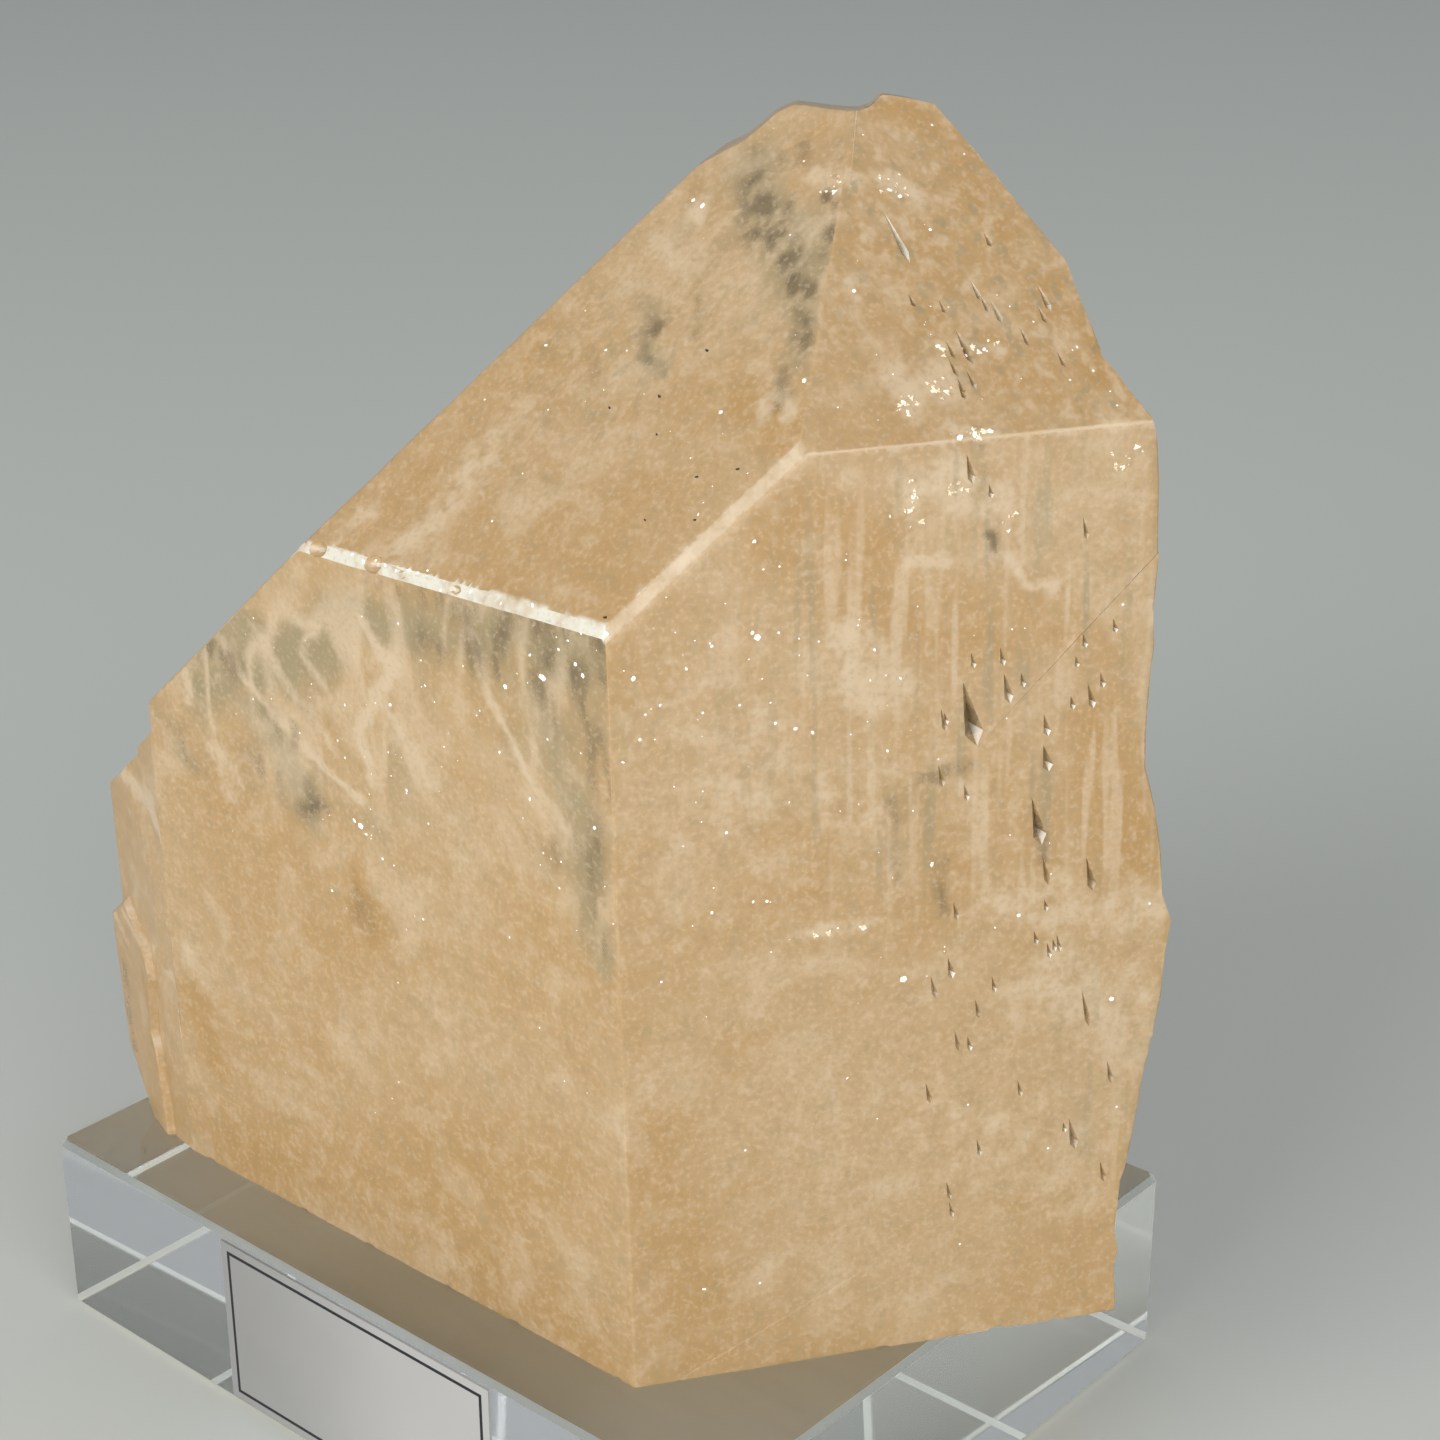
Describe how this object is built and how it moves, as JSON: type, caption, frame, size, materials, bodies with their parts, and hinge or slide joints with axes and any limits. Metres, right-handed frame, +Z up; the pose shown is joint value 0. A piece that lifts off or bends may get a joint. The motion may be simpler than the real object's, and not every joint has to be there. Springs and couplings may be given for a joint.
{
  "type": "topaz crystal specimen",
  "caption": "Champagne topaz crystal with prism and pyramid faces, growth steps and etch pits, standing on a clear acrylic block with a bare label.",
  "frame": {"origin": "centre of the display block's underside", "axes": "+Z up, +X along the block's front face, -Y out of the front face that carries the label"},
  "size_m": [0.084, 0.0518, 0.0968],
  "materials": {
    "topaz": "finely frosted, translucent champagne topaz with clearer zones",
    "acrylic": "polished clear acrylic",
    "label_film": "thin silvery label film, left bare"
  },
  "bodies": {
    "root": {"topaz_crystal": "topaz", "display_block": "acrylic", "block_label": "label_film"}
  },
  "joints": []
}
